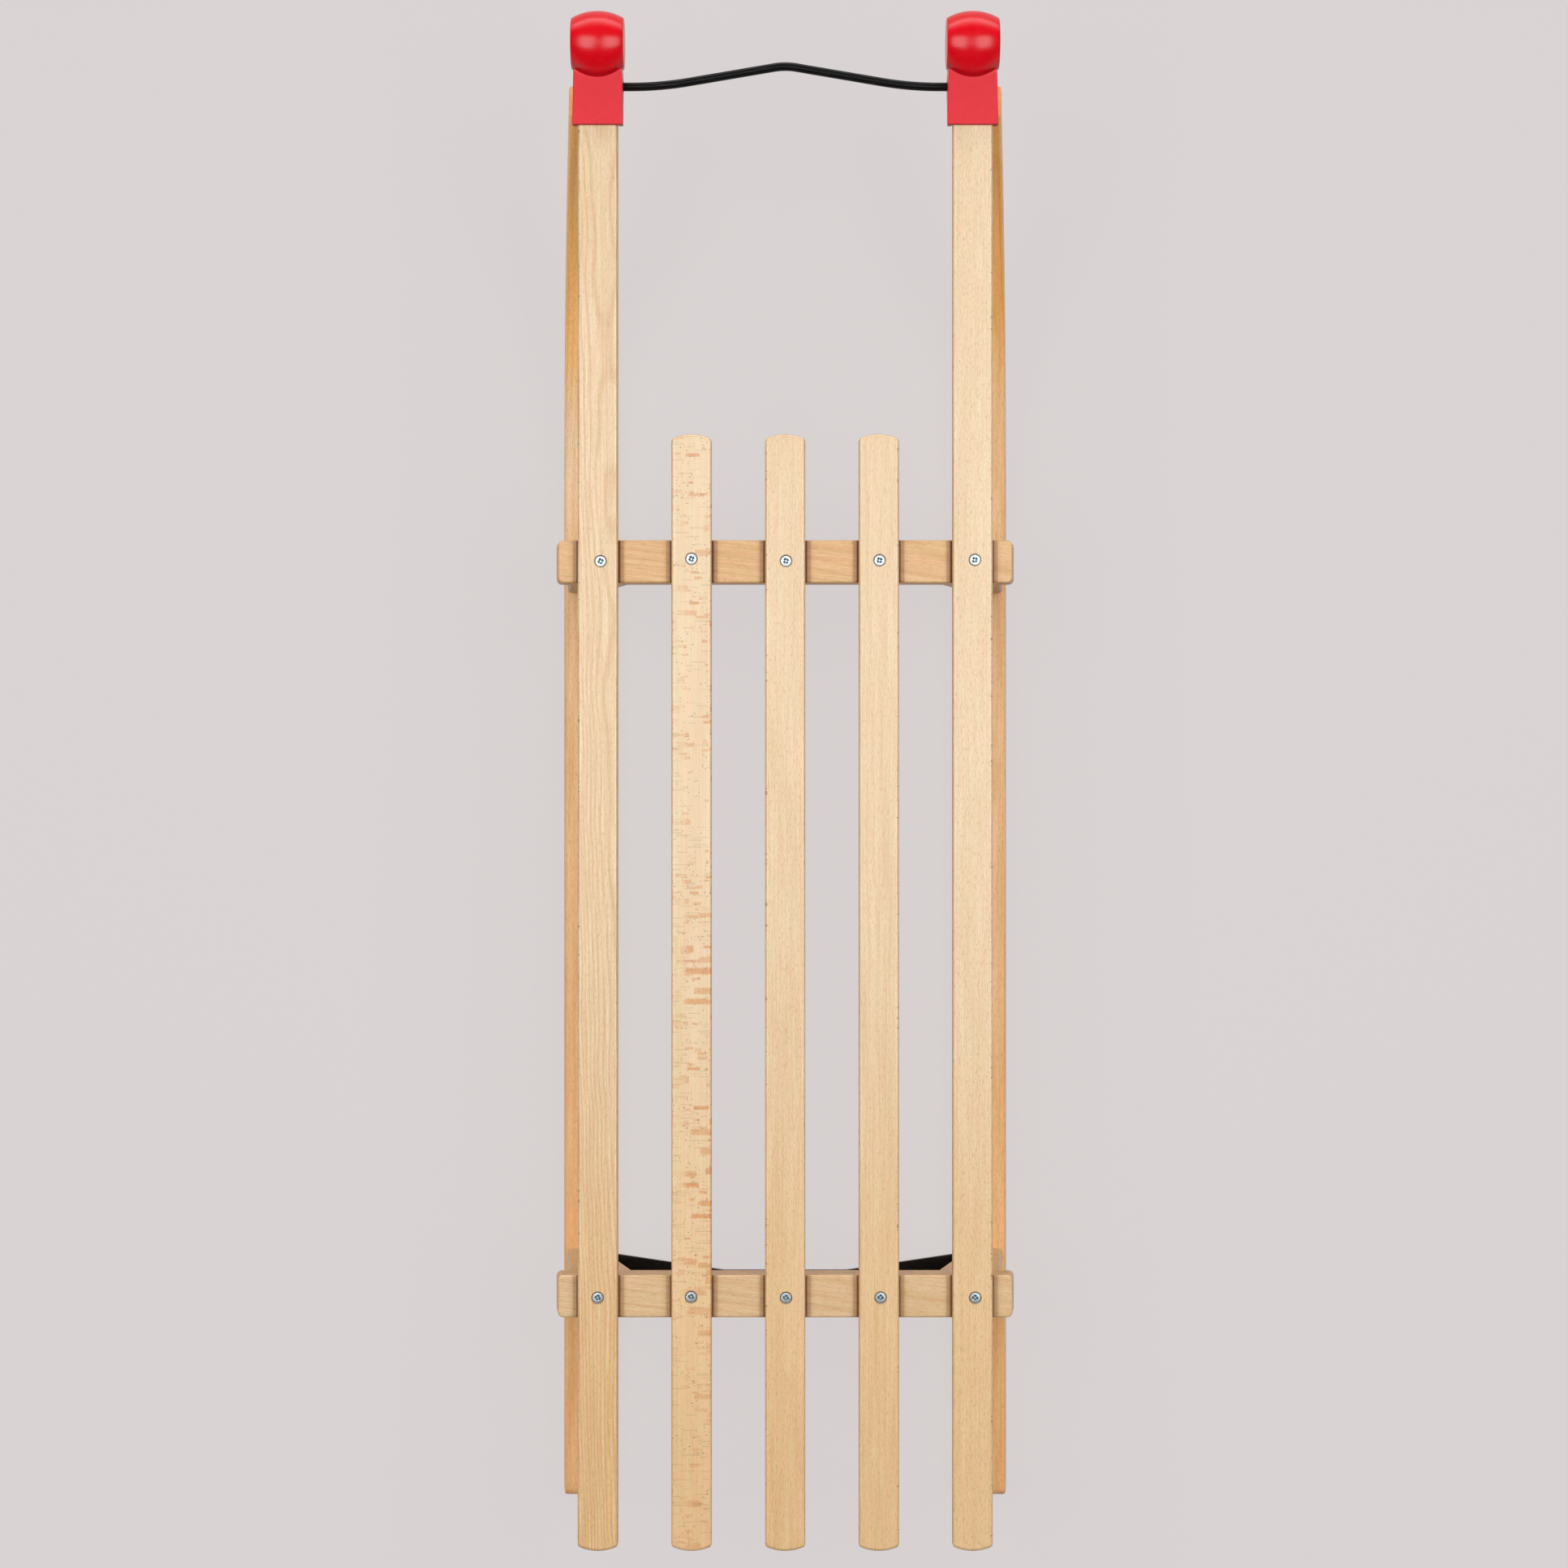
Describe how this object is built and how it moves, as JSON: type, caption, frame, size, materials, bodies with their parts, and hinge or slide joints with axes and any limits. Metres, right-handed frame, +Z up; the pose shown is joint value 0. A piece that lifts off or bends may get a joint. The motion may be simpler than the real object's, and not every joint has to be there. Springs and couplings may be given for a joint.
{
  "type": "wooden sled",
  "caption": "Classic wooden sled: slatted beech seat on splayed legs, steel-shod runners bent up at the front, red end caps and a steel pull bar.",
  "frame": {"origin": "centre of the sled's footprint on the ground, under the middle of its bounding box", "axes": "+X to the rider's right, +Y forward towards the raised runner tips, +Z up"},
  "size_m": [0.3548, 1.15, 0.2365],
  "materials": {
    "slat_wood": "pale beech, clear varnish",
    "frame_wood": "beech, clear varnish, a little darker",
    "runner_wood": "steam-bent beech, clear varnish",
    "shoe_steel": "bright steel strip",
    "cap_plastic": "red moulded plastic",
    "black_steel": "black coated steel"
  },
  "bodies": {
    "root": {"slat_outer_left": "slat_wood", "slat_inner_left": "slat_wood", "slat_centre": "slat_wood", "slat_inner_right": "slat_wood", "slat_outer_right": "slat_wood", "crosspiece_front": "frame_wood", "crosspiece_rear": "frame_wood", "leg_front_left": "frame_wood", "leg_front_right": "frame_wood", "leg_rear_left": "frame_wood", "leg_rear_right": "frame_wood", "runner_left": "runner_wood", "runner_right": "runner_wood", "shoe_left": "shoe_steel", "shoe_right": "shoe_steel", "cap_left": "cap_plastic", "cap_right": "cap_plastic", "pull_bar": "black_steel", "brace_front": "black_steel", "brace_rear": "black_steel"}
  },
  "joints": []
}
